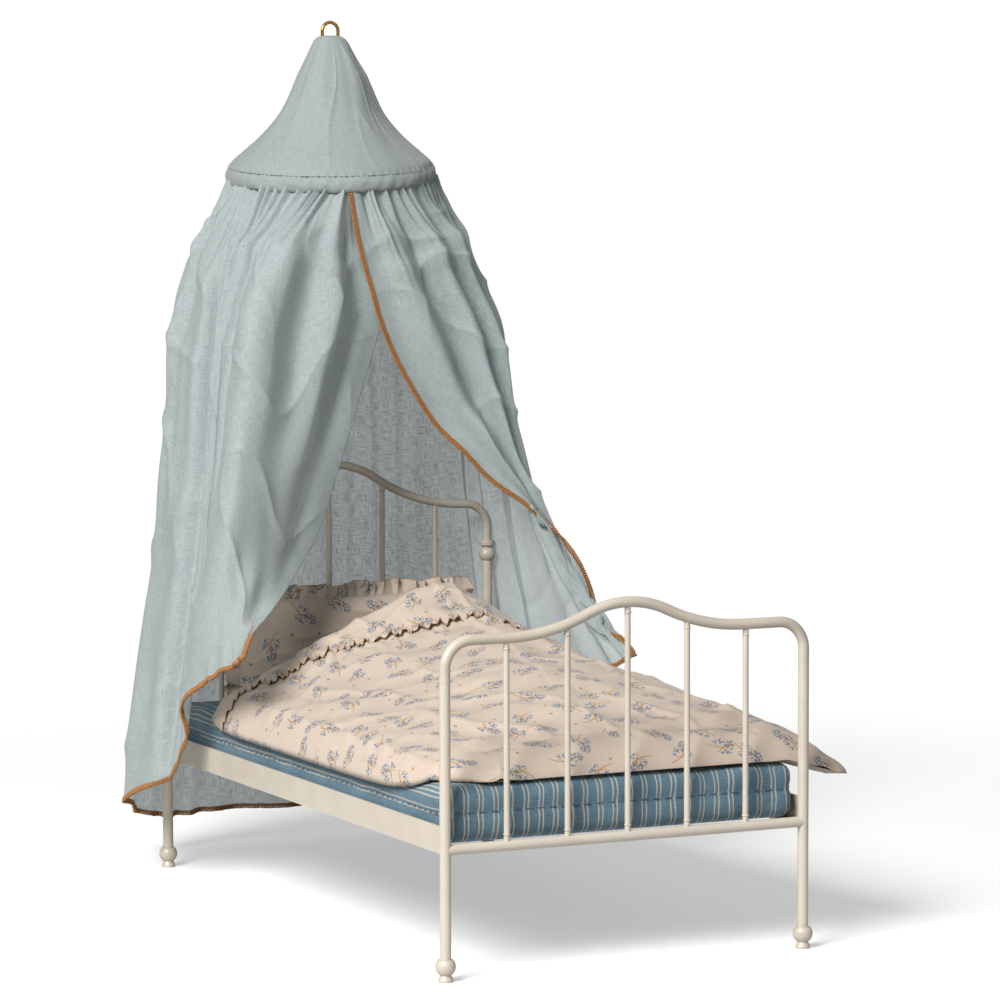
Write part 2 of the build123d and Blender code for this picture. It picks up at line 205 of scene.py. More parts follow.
class Surface:
    """A material under construction, with short calls that add its nodes."""

    def __init__(self, name, colour, roughness):
        self.material = bpy.data.materials.new(name)
        self.material.use_nodes = True
        self.tree = self.material.node_tree
        self.shader = self.tree.nodes["Principled BSDF"]
        self.shader.inputs["Base Color"].default_value = (*colour, 1)
        self.shader.inputs["Roughness"].default_value = roughness

    def node(self, kind, **settings):
        """A new node with some of its settings changed."""
        made = self.tree.nodes.new(kind)
        for key, value in settings.items():
            setattr(made, key, value)
        return made

    def plug(self, socket, value):
        """Link an output to a socket, or set the socket to a plain value."""
        if isinstance(value, bpy.types.NodeSocket):
            self.tree.links.new(value, socket)
        else:
            socket.default_value = value

    def math(self, operation, a, b=0.0, c=0.0):
        """One arithmetic step on numbers."""
        made = self.node("ShaderNodeMath", operation=operation)
        for socket, value in zip(made.inputs, (a, b, c)):
            self.plug(socket, value)
        return made.outputs[0]

    def vector(self, operation, a, b=(0, 0, 0)):
        """One arithmetic step on vectors."""
        made = self.node("ShaderNodeVectorMath", operation=operation)
        self.plug(made.inputs[0], a)
        self.plug(made.inputs[1], b)
        return made.outputs["Value"] if operation in ("LENGTH", "DISTANCE") else made.outputs[0]

    def split(self, value):
        """The three parts of a vector or a colour."""
        made = self.node("ShaderNodeSeparateXYZ")
        self.plug(made.inputs[0], value)
        return made.outputs

    def ramp(self, value, low, high):
        """0 at low, 1 at high, smooth between; low may be the larger."""
        made = self.node("ShaderNodeMapRange", interpolation_type="SMOOTHSTEP")
        self.plug(made.inputs["Value"], value)
        made.inputs["From Min"].default_value = low
        made.inputs["From Max"].default_value = high
        return made.outputs[0]

    def mix(self, share, a, b):
        """Colour a, turning into b as share goes from 0 to 1."""
        made = self.node("ShaderNodeMix", data_type="RGBA")
        self.plug(made.inputs["Factor"], share)
        for socket, value in ((made.inputs[6], a), (made.inputs[7], b)):
            self.plug(socket, (*value, 1) if isinstance(value, tuple) else value)
        return made.outputs[2]

    def noise(self, place, scale, detail=3.0):
        """Cloudy values round 0.5; scale is how many clouds there are to a millimetre."""
        made = self.node("ShaderNodeTexNoise")
        self.plug(made.inputs["Vector"], place)
        made.inputs["Scale"].default_value = scale
        made.inputs["Detail"].default_value = detail
        return made.outputs["Fac"]

    def cells(self, place, scale, randomness=1.0):
        """Scattered cells on the flat cloth; scale is how many there are to a millimetre."""
        made = self.node("ShaderNodeTexVoronoi", voronoi_dimensions="2D")
        self.plug(made.inputs["Vector"], place)
        made.inputs["Scale"].default_value = scale
        made.inputs["Randomness"].default_value = randomness
        return made.outputs

    def cloth_mm(self):
        """Flat-cloth place, in millimetres."""
        made = self.node("ShaderNodeUVMap", uv_map="cloth")
        return self.vector("MULTIPLY", made.outputs[0], (1000, 1000, 1000))

    def object_mm(self):
        """Place in the object's own axes, in millimetres."""
        made = self.node("ShaderNodeTexCoord")
        return self.vector("MULTIPLY", made.outputs["Object"], (1000, 1000, 1000))

    def threads(self, place, pitch, length):
        """Irregular warp and weft threads, 0 to 1."""
        warp = self.noise(self.vector("MULTIPLY", place, (1 / pitch, 1 / length, 1)), 1.0, 2.0)
        weft = self.noise(self.vector("MULTIPLY", place, (1 / length, 1 / pitch, 1)), 1.0, 2.0)
        return self.math("MULTIPLY_ADD", warp, 0.5, self.math("MULTIPLY", weft, 0.5))

    def bump(self, height, strength, distance):
        """Fine relief that is too small for the mesh."""
        made = self.node("ShaderNodeBump")
        self.plug(made.inputs["Height"], height)
        made.inputs["Strength"].default_value = strength
        made.inputs["Distance"].default_value = distance * MM
        self.tree.links.new(made.outputs[0], self.shader.inputs["Normal"])

    def colour(self, value):
        """Set the base colour."""
        self.plug(self.shader.inputs["Base Color"], value)

    def rough(self, value):
        """Set the roughness."""
        self.plug(self.shader.inputs["Roughness"], value)


def paint_material():
    """Cream enamel on metal, with a painted highlight along its edges."""
    s = Surface("cream_paint", (0.72, 0.65, 0.55), 0.38)
    place = s.object_mm()
    patches = s.noise(place, 0.05, 4)
    specks = s.noise(place, 1.4, 3)
    tone = s.mix(s.ramp(patches, 0.3, 0.7), (0.435, 0.39, 0.33), (0.395, 0.35, 0.29))
    # painted highlight: the convex edges are turned a lighter cream
    wear_and_edge_highlight = s.node("ShaderNodeNewGeometry").outputs["Pointiness"]
    tone = s.mix(s.math("MULTIPLY", s.ramp(wear_and_edge_highlight, 0.56, 0.66), 0.35), tone, (0.50, 0.46, 0.40))
    s.colour(tone)
    s.rough(s.math("MULTIPLY_ADD", specks, 0.22, 0.27))
    s.bump(s.noise(place, 0.9, 3), 0.25, 0.12)
    s.shader.inputs["Coat Weight"].default_value = 0.15
    s.shader.inputs["Coat Roughness"].default_value = 0.3
    return s.material


def linen_material(name, colour, shade, sheer):
    """Thin plain weave with slubs; sheer is how much light passes straight through."""
    s = Surface(name, colour, 0.85)
    place = s.cloth_mm()
    weave = s.threads(place, 0.42, 7.0)
    slub = s.threads(place, 0.8, 38.0)
    patches = s.noise(place, 0.02, 3)
    tone = s.mix(s.ramp(weave, 0.36, 0.64), shade, colour)
    lighter = tuple(c * 1.16 + 0.02 for c in colour)
    tone = s.mix(s.math("MULTIPLY", s.ramp(slub, 0.54, 0.68), 0.32), tone, lighter)
    tone = s.mix(s.math("MULTIPLY", s.ramp(patches, 0.4, 0.75), 0.35), tone, shade)
    s.colour(tone)
    s.bump(s.math("ADD", weave, slub), 0.55, 0.3)
    s.shader.inputs["Sheen Weight"].default_value = 0.15
    s.shader.inputs["Sheen Roughness"].default_value = 0.5
    if sheer:
        glow = s.node("ShaderNodeBsdfTranslucent")
        s.plug(glow.inputs["Color"], tone)
        clear = s.node("ShaderNodeBsdfTransparent")
        inner = s.node("ShaderNodeMixShader")
        inner.inputs[0].default_value = 0.38
        s.plug(inner.inputs[1], s.shader.outputs[0])
        s.plug(inner.inputs[2], glow.outputs[0])
        outer = s.node("ShaderNodeMixShader")
        gaps = s.math("MULTIPLY_ADD", s.ramp(weave, 0.62, 0.40), 1.3 * sheer, 0.3 * sheer)
        s.plug(outer.inputs[0], gaps)
        s.plug(outer.inputs[1], inner.outputs[0])
        s.plug(outer.inputs[2], clear.outputs[0])
        s.plug(s.tree.nodes["Material Output"].inputs["Surface"], outer.outputs[0])
    return s.material


def ticking_material():
    """Blue ticking: pairs of thin cream lines at a regular pitch across the cloth."""
    pitch, apart, line = 8.3, 2.3, 0.72
    blue, deep, cream = (0.075, 0.140, 0.185), (0.045, 0.090, 0.125), (0.33, 0.315, 0.26)
    s = Surface("blue_ticking", blue, 0.85)
    place = s.cloth_mm()
    waver = s.math("MULTIPLY", s.math("SUBTRACT", s.noise(place, 0.06, 2), 0.5), 2.2)
    across = s.math("ADD", s.split(place)[0], waver)
    centre = s.math("SUBTRACT", s.math("MODULO", s.math("ADD", across, 4000 * pitch), pitch), pitch / 2)
    offset = s.math("SUBTRACT", s.math("ABSOLUTE", centre), apart / 2)
    lines = s.ramp(s.math("ABSOLUTE", offset), line / 2 + 0.16, line / 2 - 0.12)
    weave = s.threads(place, 0.7, 9.0)
    patches = s.noise(place, 0.035, 3)
    ground = s.mix(s.ramp(weave, 0.35, 0.66), deep, blue)
    ground = s.mix(s.math("MULTIPLY", s.ramp(patches, 0.35, 0.7), 0.4), ground, (0.10, 0.18, 0.235))
    wear_and_edge_highlight = s.math("MULTIPLY", lines, s.math("MULTIPLY_ADD", weave, 0.5, 0.66))
    s.colour(s.mix(wear_and_edge_highlight, ground, cream))
    s.bump(s.math("MULTIPLY_ADD", lines, 0.25, weave), 0.6, 0.35)
    s.shader.inputs["Sheen Weight"].default_value = 0.1
    return s.material


def sprig_material():
    """Cream cotton with a scattered print: blue flower sprigs on ochre stems, and ochre dots."""
    ground, dusk = (0.42, 0.348, 0.286), (0.35, 0.287, 0.232)
    ochre, blue, navy = (0.25, 0.125, 0.018), (0.12, 0.19, 0.28), (0.035, 0.065, 0.12)
    sprig_pitch, dot_pitch, petal_pitch = 22.0, 14.0, 1.4
    s = Surface("sprig_cotton", ground, 0.8)
    place = s.cloth_mm()
    sprigs = s.cells(place, 1 / sprig_pitch, 0.55)
    turn = s.node("ShaderNodeVectorRotate", rotation_type="Z_AXIS")
    s.plug(turn.inputs["Vector"], s.vector("SUBTRACT", place, sprigs["Position"]))
    chance = s.split(sprigs["Color"])
    s.plug(turn.inputs["Angle"], s.math("MULTIPLY", chance[0], 2 * math.pi))
    x, y, _ = s.split(turn.outputs[0])

    def blob(centre_x, centre_y, half_length, half_width):
        """1 inside an oval of the sprig."""
        across = s.math("MULTIPLY", s.math("SUBTRACT", x, centre_x), 1 / half_length)
        up = s.math("MULTIPLY", s.math("SUBTRACT", y, centre_y), 1 / half_width)
        far = s.math("SQRT", s.math("ADD", s.math("POWER", across, 2.0), s.math("POWER", up, 2.0)))
        return s.ramp(far, 1.08, 0.95)

    head = s.math("MAXIMUM", blob(5.2, 1.5, 4.4, 3.0), blob(-1.2, 4.0, 3.2, 2.0))
    head = s.math("MAXIMUM", head, blob(0.4, -2.9, 3.2, 1.8))
    petals = s.cells(turn.outputs[0], 1 / petal_pitch, 0.9)
    petal = s.math("MULTIPLY", s.ramp(petals["Distance"], 0.50, 0.34), head)
    bend = s.math("MULTIPLY_ADD", s.math("MULTIPLY", x, x), -0.045, y)
    stem = s.ramp(s.math("ABSOLUTE", bend), 0.36, 0.18)
    stem = s.math("MULTIPLY", stem, blob(-1.8, 0.8, 9.8, 3.4))
    for slope, shift in ((0.9, -1.4), (-0.8, 0.6)):
        off = s.math("SUBTRACT", s.math("MULTIPLY_ADD", x, slope, y), shift)
        twig = s.ramp(s.math("ABSOLUTE", off), 0.36, 0.18)
        stem = s.math("MAXIMUM", stem, s.math("MULTIPLY", twig, blob(-0.8, 0.4, 4.2, 4.0)))
    dots = s.cells(place, 1 / dot_pitch, 0.8)
    dot = s.ramp(dots["Distance"], 0.078, 0.05)
    clear = s.math("SUBTRACT", 1.0, blob(0.8, 0.4, 11.0, 8.0))
    chosen = s.ramp(s.split(dots["Color"])[1], 0.3, 0.35)
    dot = s.math("MULTIPLY", s.math("MULTIPLY", dot, clear), chosen)
    weave = s.threads(place, 0.6, 5.0)
    patches = s.noise(place, 0.03, 3)
    tone = s.mix(s.math("MULTIPLY", s.ramp(weave, 0.6, 0.35), 0.30), ground, dusk)
    tone = s.mix(s.math("MULTIPLY", s.ramp(patches, 0.4, 0.7), 0.25), tone, dusk)
    ink = s.mix(s.ramp(s.split(petals["Color"])[0], 0.40, 0.70), blue, navy)
    tone = s.mix(s.math("MULTIPLY", petal, 0.9), tone, ink)
    s.colour(s.mix(s.math("MULTIPLY", s.math("MAXIMUM", stem, dot), 0.9), tone, ochre))
    s.bump(weave, 0.35, 0.2)
    s.shader.inputs["Sheen Weight"].default_value = 0.12
    return s.material


def yarn_material(name, colour, shade):
    """Twisted cotton yarn."""
    s = Surface(name, colour, 0.75)
    place = s.object_mm()
    fibre = s.noise(place, 3.0, 4)
    patches = s.noise(place, 0.06, 3)
    tone = s.mix(s.ramp(fibre, 0.35, 0.65), shade, colour)
    s.colour(s.mix(s.math("MULTIPLY", s.ramp(patches, 0.4, 0.7), 0.3), tone, shade))
    s.bump(fibre, 0.6, 0.25)
    s.shader.inputs["Sheen Weight"].default_value = 0.2
    return s.material


def brass_material():
    """Polished brass wire with a little tarnish."""
    s = Surface("wire_brass", (0.83, 0.56, 0.20), 0.2)
    place = s.object_mm()
    s.shader.inputs["Metallic"].default_value = 1.0
    tarnish = s.ramp(s.noise(place, 0.6, 4), 0.4, 0.65)
    s.colour(s.mix(tarnish, (0.66, 0.36, 0.07), (0.40, 0.20, 0.03)))
    s.rough(s.math("MULTIPLY_ADD", s.noise(place, 2.5, 3), 0.2, 0.12))
    s.bump(s.noise(place, 1.2, 3), 0.2, 0.1)
    return s.material


def steel_material():
    """Plain steel wire."""
    s = Surface("hoop_steel", (0.5, 0.5, 0.5), 0.4)
    place = s.object_mm()
    s.shader.inputs["Metallic"].default_value = 1.0
    s.rough(s.math("MULTIPLY_ADD", s.noise(place, 1.5, 4), 0.3, 0.25))
    s.bump(s.noise(place, 2.0, 3), 0.2, 0.1)
    return s.material


def floor_material():
    """Pale floor that lets the white surround through, and fades out well away from the object."""
    s = Surface("pale_floor", (0.93, 0.93, 0.92), 0.9)
    place = s.object_mm()
    s.colour(s.mix(s.noise(place, 0.004, 2), (0.94, 0.94, 0.935), (0.92, 0.92, 0.915)))
    clear = s.node("ShaderNodeBsdfTransparent")
    fade = s.node("ShaderNodeMixShader")
    near_edge, far_edge, least = 250, 900, 0.4
    far = s.ramp(s.vector("LENGTH", place), near_edge, far_edge)
    s.plug(fade.inputs[0], s.math("MULTIPLY_ADD", far, 1 - least, least))
    s.plug(fade.inputs[1], s.shader.outputs[0])
    s.plug(fade.inputs[2], clear.outputs[0])
    s.plug(s.tree.nodes["Material Output"].inputs["Surface"], fade.outputs[0])
    return s.material


PAINT = paint_material()
LINEN = linen_material("canopy_linen", (0.42, 0.485, 0.49), (0.35, 0.415, 0.415), 0.14)
# painted shade: a darker copy of the canopy linen, used for the cone cover, its stitches and the rim
CONE_LINEN_PAINTED_SHADE = linen_material("cone_linen_painted_shade", (0.22, 0.253, 0.251), (0.175, 0.206, 0.204), 0.0)
TICKING = ticking_material()
SPRIG = sprig_material()
TRIM = yarn_material("ochre_trim", (0.38, 0.145, 0.008), (0.155, 0.055, 0.004))
FRILL_THREAD = yarn_material("frill_thread", (0.42, 0.20, 0.07), (0.24, 0.11, 0.035))
NAVY_THREAD = yarn_material("navy_thread", (0.05, 0.10, 0.17), (0.02, 0.05, 0.09))
BRASS = brass_material()
STEEL = steel_material()


# ---- mattress ----


def rounded_box(low, high, rounding, cell):
    """Grids of points for the six faces of a box with rounded edges, and their flat-cloth places.

    The cloth runs on from the top over the long sides, so that its stripes run along the bed.
    """
    centre, half = (low + high) / 2, (high - low) / 2
    core = half - rounding
    faces = []
    for axis in range(3):
        for sign in (-1, 1):
            first, second = [k for k in range(3) if k != axis]
            counts = [max(4, int(2 * half[k] / cell)) for k in (first, second)]
            a, b = np.meshgrid(
                np.linspace(-half[first], half[first], counts[0]),
                np.linspace(-half[second], half[second], counts[1]),
                indexing="ij",
            )
            points = np.zeros(a.shape + (3,))
            points[..., first], points[..., second], points[..., axis] = a, b, sign * half[axis]
            inner = np.clip(points, -core, core)
            away = points - inner
            away /= np.maximum(np.linalg.norm(away, axis=2, keepdims=True), 1e-9)
            placed = inner + away * rounding
            if axis == 0:
                cloth = np.stack([sign * (half[0] + half[2] - placed[..., 2]), placed[..., 1]], -1)
            elif axis == 1:
                cloth = np.stack([placed[..., 0], placed[..., 2]], -1)
            else:
                cloth = np.stack([placed[..., 0], placed[..., 1]], -1)
            faces.append((placed + centre, away, cloth))
    return faces


def joined(name, pieces):
    """One object from several grids whose borders meet."""
    work = bmesh.new()
    for number, (points, cloth) in enumerate(pieces):
        piece = grid_object(f"{name}_{number}", points, cloth)
        work.from_mesh(piece.data)
        bpy.data.objects.remove(piece)
    bmesh.ops.remove_doubles(work, verts=work.verts, dist=0.03 * MM)
    bmesh.ops.recalc_face_normals(work, faces=work.faces)
    mesh = bpy.data.meshes.new(name)
    work.to_mesh(mesh)
    work.free()
    mesh.polygons.foreach_set("use_smooth", [True] * len(mesh.polygons))
    return link(name, mesh)


STITCH_Z = mattress_low[2] + 0.53 * (mattress_high[2] - mattress_low[2])
STITCH_PITCH = 6.4


def mattress_shape(points, away):
    """Cushion the plain box: sides crowned above and below the stitched line, a soft top."""
    x, y, z = points[..., 0], points[..., 1], points[..., 2]
    size = mattress_high - mattress_low
    middle = (mattress_high + mattress_low) / 2
    outward = np.linalg.norm(away[..., :2], axis=-1)
    groove = np.exp(-(((z - STITCH_Z) / 2.2) ** 2))
    pucker = 0.5 + 0.5 * np.sin(2 * math.pi * (x + y) / STITCH_PITCH)
    swell = 0.9 * np.sin(math.pi * np.clip((z - mattress_low[2]) / size[2], 0, 1)) - 0.6
    side = swell - groove * (0.9 + 0.5 * pucker) + 0.45 * wander(x + y, 2.2 * z, 34, 3)
    pull = 1 - 0.012 * np.abs((y - middle[1]) / (size[1] / 2)) ** 8
    top = 0.5 * wander(x, y, 60, 5) + 0.25 * wander(x, y, 17, 6) - 0.5
    moved = points + away * (side * outward)[..., None]
    moved[..., 2] += top * np.abs(away[..., 2]) * (away[..., 2] > 0)
    moved[..., 0] = middle[0] + (moved[..., 0] - middle[0]) * pull
    return moved


def make_mattress():
    """The mattress pad and the stitches round its sides."""
    grids = []
    for points, away, cloth in rounded_box(mattress_low, mattress_high, rounding=6.5, cell=2.2):
        grids.append((mattress_shape(points, away), cloth))
    pad = joined("mattress_cover", grids)
    dress(pad, TICKING, "mattress")
    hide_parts("mattress")

    runs = []
    inset, corner, reach, climb = 0.5, 7, 0.55 * STITCH_PITCH, 0.15
    low, high = mattress_low[:2] + inset, mattress_high[:2] - inset
    for x in np.arange(low[0] + corner, high[0] - corner, STITCH_PITCH):
        for y in (low[1], high[1]):
            runs.append([(x, y, STITCH_Z), (x + reach, y, STITCH_Z + climb)])
    for y in np.arange(low[1] + corner, high[1] - corner, STITCH_PITCH):
        for x in (low[0], high[0]):
            runs.append([(x, y, STITCH_Z), (x, y + reach, STITCH_Z + climb)])
    stitches = thread_object("mattress_stitches", runs, 0.42)
    dress(stitches, NAVY_THREAD, "mattress")


make_mattress()


# ---- duvet ----

DUVET_FRONT = duvet_low[1]
DUVET_LENGTH = duvet_high[1] - DUVET_FRONT
DUVET_ACROSS, DUVET_ALONG = 190, 210  # columns and rows of its mesh
BED_REST = BED_TOP + 0.6


def duvet_edges(along):
    """How far the duvet's left and right edges stand out, at a distance behind its front edge."""
    left = -103.5 + 30 * np.exp(-np.clip(along, 0, None) / 16.0)
    right = through([0, 12, 50, 115, 175, 235, 302], [134, 137, 129, 119, 110, 107.5, 104], along)
    right = right - 9 * np.exp(-np.clip(along, 0, None) / 5.0)
    back = np.exp(-np.clip(DUVET_LENGTH - along, 0, None) / 14.0)
    return left + 5 * back, right - 9 * back


def duvet_ridge(along):
    """Height of the duvet's highest line, which runs right of the middle near the pillow."""
    knots = [0, 12, 50, 110, 175, 218, 245, 270, 288, 302]
    return through(knots, [105, 111, 119, 129, 139.5, 146.5, 152, 159.5, 164, 154], along)


def duvet_hem(x):
    """Where the lower face lies: on the mattress, and hanging past its sides."""
    over = np.clip(np.abs(x) - 95.0, 0, None)
    return BED_REST + 0.2 - np.where(x < 0, 0.95, 0.27) * over


def duvet_top(x, along):
    """Height of the duvet's upper face: flat at the foot, a lopsided dome towards the pillow."""
    left, right = duvet_edges(along)
    hem = duvet_hem(x)
    late = step(10, 200, along)
    crest = 26 * late
    share = np.clip((x - crest) / np.where(x < crest, left - crest, right - crest), 0, 1)
    power = np.where(x < crest, 1.8 - 0.65 * late, 4.5 - 2.6 * late)
    dome = 1 - np.sqrt(share**2 + 0.003) ** power
    rim_thick = 7.5 + 3.0 * step(0, 60, x)
    rim = np.minimum(x - left, right - x)
    side_round = (1 - (1 - np.clip(rim / 9, 0, 1)) ** 2.2) ** 0.6
    front_round = 1 - (1 - np.clip(along / 15, 0, 1)) ** 2.6
    back_round = 1 - (1 - np.clip((DUVET_LENGTH - along) / 24, 0, 1)) ** 2.6
    edge = np.clip(front_round * back_round, 0, 1) ** 0.55
    tip = 1 - 0.55 * step(98, 132, x)
    plump = (rim_thick + (duvet_ridge(along) - hem - rim_thick) * np.clip(dome, 0, 1)) * side_round
    height = hem + plump * edge * tip
    inner = np.clip(rim / 26, 0, 1) * np.clip(along / 30, 0, 1)
    behind_roll = along - 27 - 4 * wander(x, 0 * x, 90, 31)
    roll = -2.6 * np.exp(-((behind_roll / 6.0) ** 2)) * np.clip(rim / 30, 0, 1)
    folds = 1.5 * wander(x * 0.8, along, 62, 11) + 0.9 * wander(x, along * 0.7, 25, 12)
    sharp = 2.0 * creases(x, along * 0.62, 78, 13) + 1.2 * creases(x * 0.7, along, 40, 15)
    gather = 1.1 * np.sin(2 * math.pi * (x + 2.5 * wander(x, along, 20, 14)) / 8.5)
    near_band = np.exp(-np.abs(along - ruffle_line(x)) / 10.0)
    scallop = (1.3 * wander(x, along, 15, 16) + 1.2 * creases(x, along, 26, 17)) * np.exp(-rim / 16)
    edging = (gather * near_band + scallop) * np.clip(rim / 8, 0, 1)
    return height + (folds + sharp - 1.0) * inner + roll + edging


def ruffle_line(x):
    """How far behind the duvet's front edge the ruffle is sewn."""
    return 246.0 - 0.37 * x - 0.0006 * x**2


def duvet_point(x, along, lift=0.0):
    """A place on the upper face."""
    x, along = np.broadcast_arrays(np.asarray(x, float), np.asarray(along, float))
    return np.stack([x, DUVET_FRONT + along, duvet_top(x, along) + lift], -1)


def make_duvet():
    """The duvet: an upper and a lower face that meet at its edges."""
    across = 0.5 - 0.5 * np.cos(np.linspace(0, math.pi, DUVET_ACROSS))
    along = DUVET_LENGTH * (0.5 - 0.5 * np.cos(np.linspace(0, math.pi, DUVET_ALONG)))
    across, along = np.meshgrid(0.35 * across + 0.65 * np.linspace(0, 1, DUVET_ACROSS), along)
    left, right = duvet_edges(along)
    x = left + (right - left) * across
    top = duvet_point(x, along)
    below = np.stack([x, DUVET_FRONT + along, duvet_hem(x)], -1)
    puff = np.clip(np.minimum(x - left, right - x) / 12, 0, 1) * np.clip(along / 12, 0, 1)
    over = np.clip((np.abs(x) - 97) / 8, 0, 1)
    below[..., 2] -= 2.5 * puff * over
    quilt = joined("duvet_cover", [(top, flat_places(top)), (below, flat_places(below) + 500)])
    dress(quilt, SPRIG, "duvet")
    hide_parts("duvet")


def frill(name, line, rise, side, body, waves, tall, flare, seed):
    """A gathered strip that stands on a line of points and waves to both sides.

    line holds the places it is sewn to, rise the way it stands, and side the way it waves. waves
    is the length of one wave, tall the strip's height, and flare how far the waves stand out.
    """
    rows = 7
    length = lengths_along(line)
    phase = 2 * math.pi * (length / waves + 0.55 * wander(length, 0 * length, 19, seed))
    height = np.linspace(0, 1, rows)[:, None]
    wave = np.sin(phase)[None] * flare * height**0.8
    wave = wave + 0.25 * flare * np.sin(2.1 * phase)[None] * height
    reach = tall * (1 + 0.16 * wander(length, 0 * length, 14, seed + 1))[None] * height
    points = line[None] + rise[None] * reach[..., None] + side[None] * wave[..., None]
    shift = unit(np.gradient(line, axis=0))
    points = points + shift[None] * (0.35 * flare * np.cos(phase)[None] * height)[..., None]
    fullness = np.linalg.norm(np.diff(points, axis=1), axis=2).sum(axis=1).mean() / length[-1]
    cloth = np.stack([np.broadcast_to(length * fullness, reach.shape), reach], -1)
    strip = grid_object(name, points, cloth)
    dress(strip, SPRIG, body)
    edge = thread_object(f"{name}_edge", [points[-1]], 0.15)
    dress(edge, FRILL_THREAD, body)


def make_duvet_ruffle():
    """A narrow strip sewn along its middle, gathered, so that both its edges stand and wave."""
    x = np.linspace(-103.0, 105.0, 1500)
    line = duvet_point(x, ruffle_line(x), -0.2)
    for name, lean, seed in (("front", -1.0, 41), ("back", 1.0, 47)):
        rise = np.tile(np.array([0.3 * lean, 0.9 * lean, 0.27]), (len(x), 1))
        side = np.tile(np.array([0, -0.35 * lean, 0.9]), (len(x), 1))
        frill(f"duvet_ruffle_{name}", line, rise, side, "duvet", 5.0, 4.2, 1.3, seed)


make_duvet()
make_duvet_ruffle()


# ---- pillow ----


def make_pillow():
    """The pillow, leaning on the head end, and the ruffle round its sides and top."""
    width, height, thick = 2 * pillow_high[0], 66.0, 25.0
    lean = math.radians(13)
    base = np.array([0, pillow_low[1] + 10.5, BED_TOP + 1.0])
    up = np.array([0, math.sin(lean), math.cos(lean)])
    out = np.array([0, -math.cos(lean), math.sin(lean)])
    a, b = np.meshgrid(np.linspace(-1, 1, 110), np.linspace(-1, 1, 60))
    a, b = np.sin(a * math.pi / 2), np.sin(b * math.pi / 2)
    pull = 1 - 0.05 * (1 - a**2) * b**2
    waist = 1 - 0.035 * (1 - b**2)
    x = a * (width / 2 - 6) * waist
    z = (b * pull * 0.5 + 0.5) * (height - 10) + 2
    swell = ((1 - a**6) * (1 - b**6)) ** 0.55
    grids = []
    for sign in (1, -1):
        crumple = 1.0 * wander(x, z, 40, 51 + sign) + 1.1 * creases(x, z * 1.4, 46, 55 + sign) - 0.4
        depth = sign * swell * (thick / 2 + crumple)
        points = base + up * z[..., None] + out * depth[..., None]
        points[..., 0] += x
        grids.append((points, np.stack([x + 300 * sign, z], -1)))
    cushion = joined("pillow_cover", grids)
    dress(cushion, SPRIG, "pillow")
    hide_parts("pillow")

    border = np.concatenate([
        np.stack([x[:, 0], z[:, 0]], -1),
        np.stack([x[-1], z[-1]], -1)[1:],
        np.stack([x[::-1, -1], z[::-1, -1]], -1)[1:],
    ])
    length = lengths_along(border)
    border = read_at(np.linspace(0, length[-1], 1600), length, border)
    line = base + up * border[:, 1:2]
    line[:, 0] += border[:, 0]
    tangent = unit(np.gradient(border, axis=0))
    rise = up * tangent[:, 0:1]
    rise[:, 0] -= tangent[:, 1]
    side = np.tile(out, (len(line), 1))
    frill("pillow_ruffle", line, rise, side, "pillow", 8.0, 8.0, 2.6, 61)


make_pillow()


# ---- canopy ----


def ring_point(angle, radius, z):
    """A place round the canopy's axis; 0 degrees is to the front, 90 to the right."""
    turn = np.radians(angle)
    return np.stack([AXIS_X + radius * np.sin(turn), AXIS_Y - radius * np.cos(turn), z], -1)


def hoop_rise(angle, radius):
    """How far a place on the hoop is above its lowest one, as the hoop hangs a little askew."""
    return 0.095 * (BAND_R - radius * np.cos(np.radians(angle) + 0.45))


